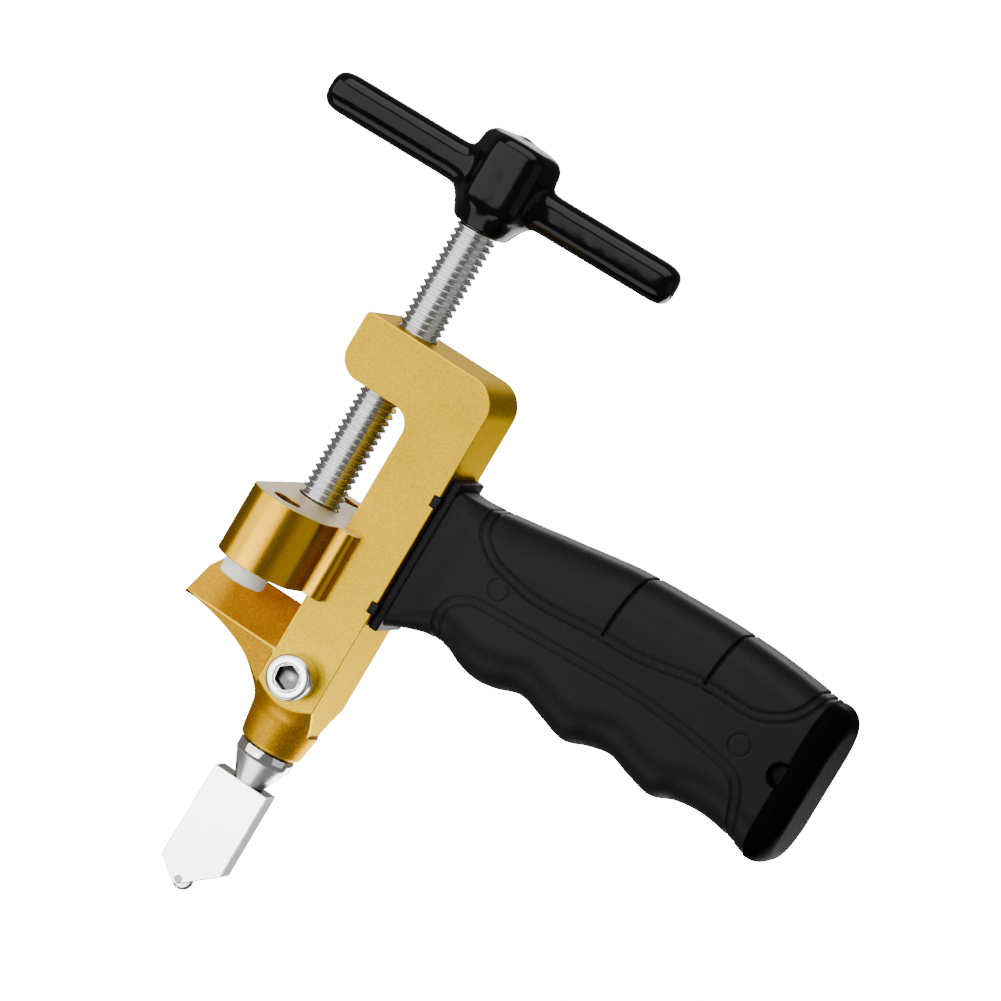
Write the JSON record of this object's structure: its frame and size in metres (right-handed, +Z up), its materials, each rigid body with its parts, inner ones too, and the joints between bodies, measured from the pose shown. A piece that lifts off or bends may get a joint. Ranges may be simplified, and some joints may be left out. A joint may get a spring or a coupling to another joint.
{
  "type": "hand glass cutter",
  "caption": "Hand glass and tile cutter: swivel wheel head under a C-shaped frame with a screw-down presser and anvil ridge for snapping, and a pistol grip.",
  "frame": {"origin": "where the cutter head's swivel axis meets the glass, level with the lowest point of the cutting wheel", "axes": "+Z up along the nose axis and the clamp screw, +X from the nose towards the grip, Y across the frame's thickness"},
  "size_m": [0.1677, 0.055, 0.1775],
  "materials": {
    "anodised_frame": "gold anodised, fine sandblast",
    "anodised_block": "gold anodised extrusion, sawn ends",
    "plated_screw": "bright zinc plate",
    "zinc_thread": "zinc plated rolled thread",
    "spring_steel": "oiled",
    "chrome_collar": "polished chrome plate",
    "nickel_head": "satin nickel plate",
    "axle_steel": "ground",
    "carbide": "ground carbide",
    "dipped_vinyl": "glossy dipped coating",
    "nylon": "natural nylon",
    "grip_plastic": "satin moulded",
    "cap_plastic": "semi-gloss moulded"
  },
  "bodies": {
    "frame": {"frame": "anodised_frame", "cutter_shank": "plated_screw", "cutter_collar": "chrome_collar", "grip_body": "grip_plastic", "grip_end_cap": "cap_plastic", "grip_washer": "plated_screw", "grip_bolt": "plated_screw"},
    "lock_screw": {"lock_screw": "plated_screw"},
    "presser": {"presser_block": "anodised_block", "pad_near": "nylon", "pad_far": "nylon", "thrust_washer": "spring_steel"},
    "screw": {"clamp_screw": "zinc_thread", "tee_hub": "zinc_thread", "tee_bar": "zinc_thread", "tee_coating": "dipped_vinyl", "retaining_ring": "spring_steel"},
    "head": {"cutter_head": "nickel_head", "wheel_axle": "axle_steel", "pivot_pin": "plated_screw", "pivot_clip": "spring_steel"},
    "wheel": {"cutting_wheel": "carbide"}
  },
  "joints": [
    {"name": "presser_slide", "type": "slide", "parent": "frame", "child": "presser", "axis": [0, 0, 1], "range_m": [-0.0048, 0.024]},
    {"name": "screw_turn", "type": "hinge", "parent": "presser", "child": "screw", "pos_m": [-0.0182, 0, 0.166], "axis": [0, 0, 1], "continuous": true},
    {"name": "head_swivel", "type": "hinge", "parent": "frame", "child": "head", "pos_m": [0, 0, 0.0282], "axis": [0, 0, 1], "continuous": true},
    {"name": "wheel_spin", "type": "hinge", "parent": "head", "child": "wheel", "pos_m": [-0.0018, 0, 0.0026], "axis": [0, 1, 0], "continuous": true},
    {"name": "lock_screw_turn", "type": "hinge", "parent": "frame", "child": "lock_screw", "pos_m": [0, -0.0105, 0.0553], "axis": [0, 1, 0], "range_deg": [-180, 360]}
  ],
  "couplings": [
    {"joint": "screw_turn", "follows": "presser_slide", "rad_per_m": 3957.9}
  ]
}
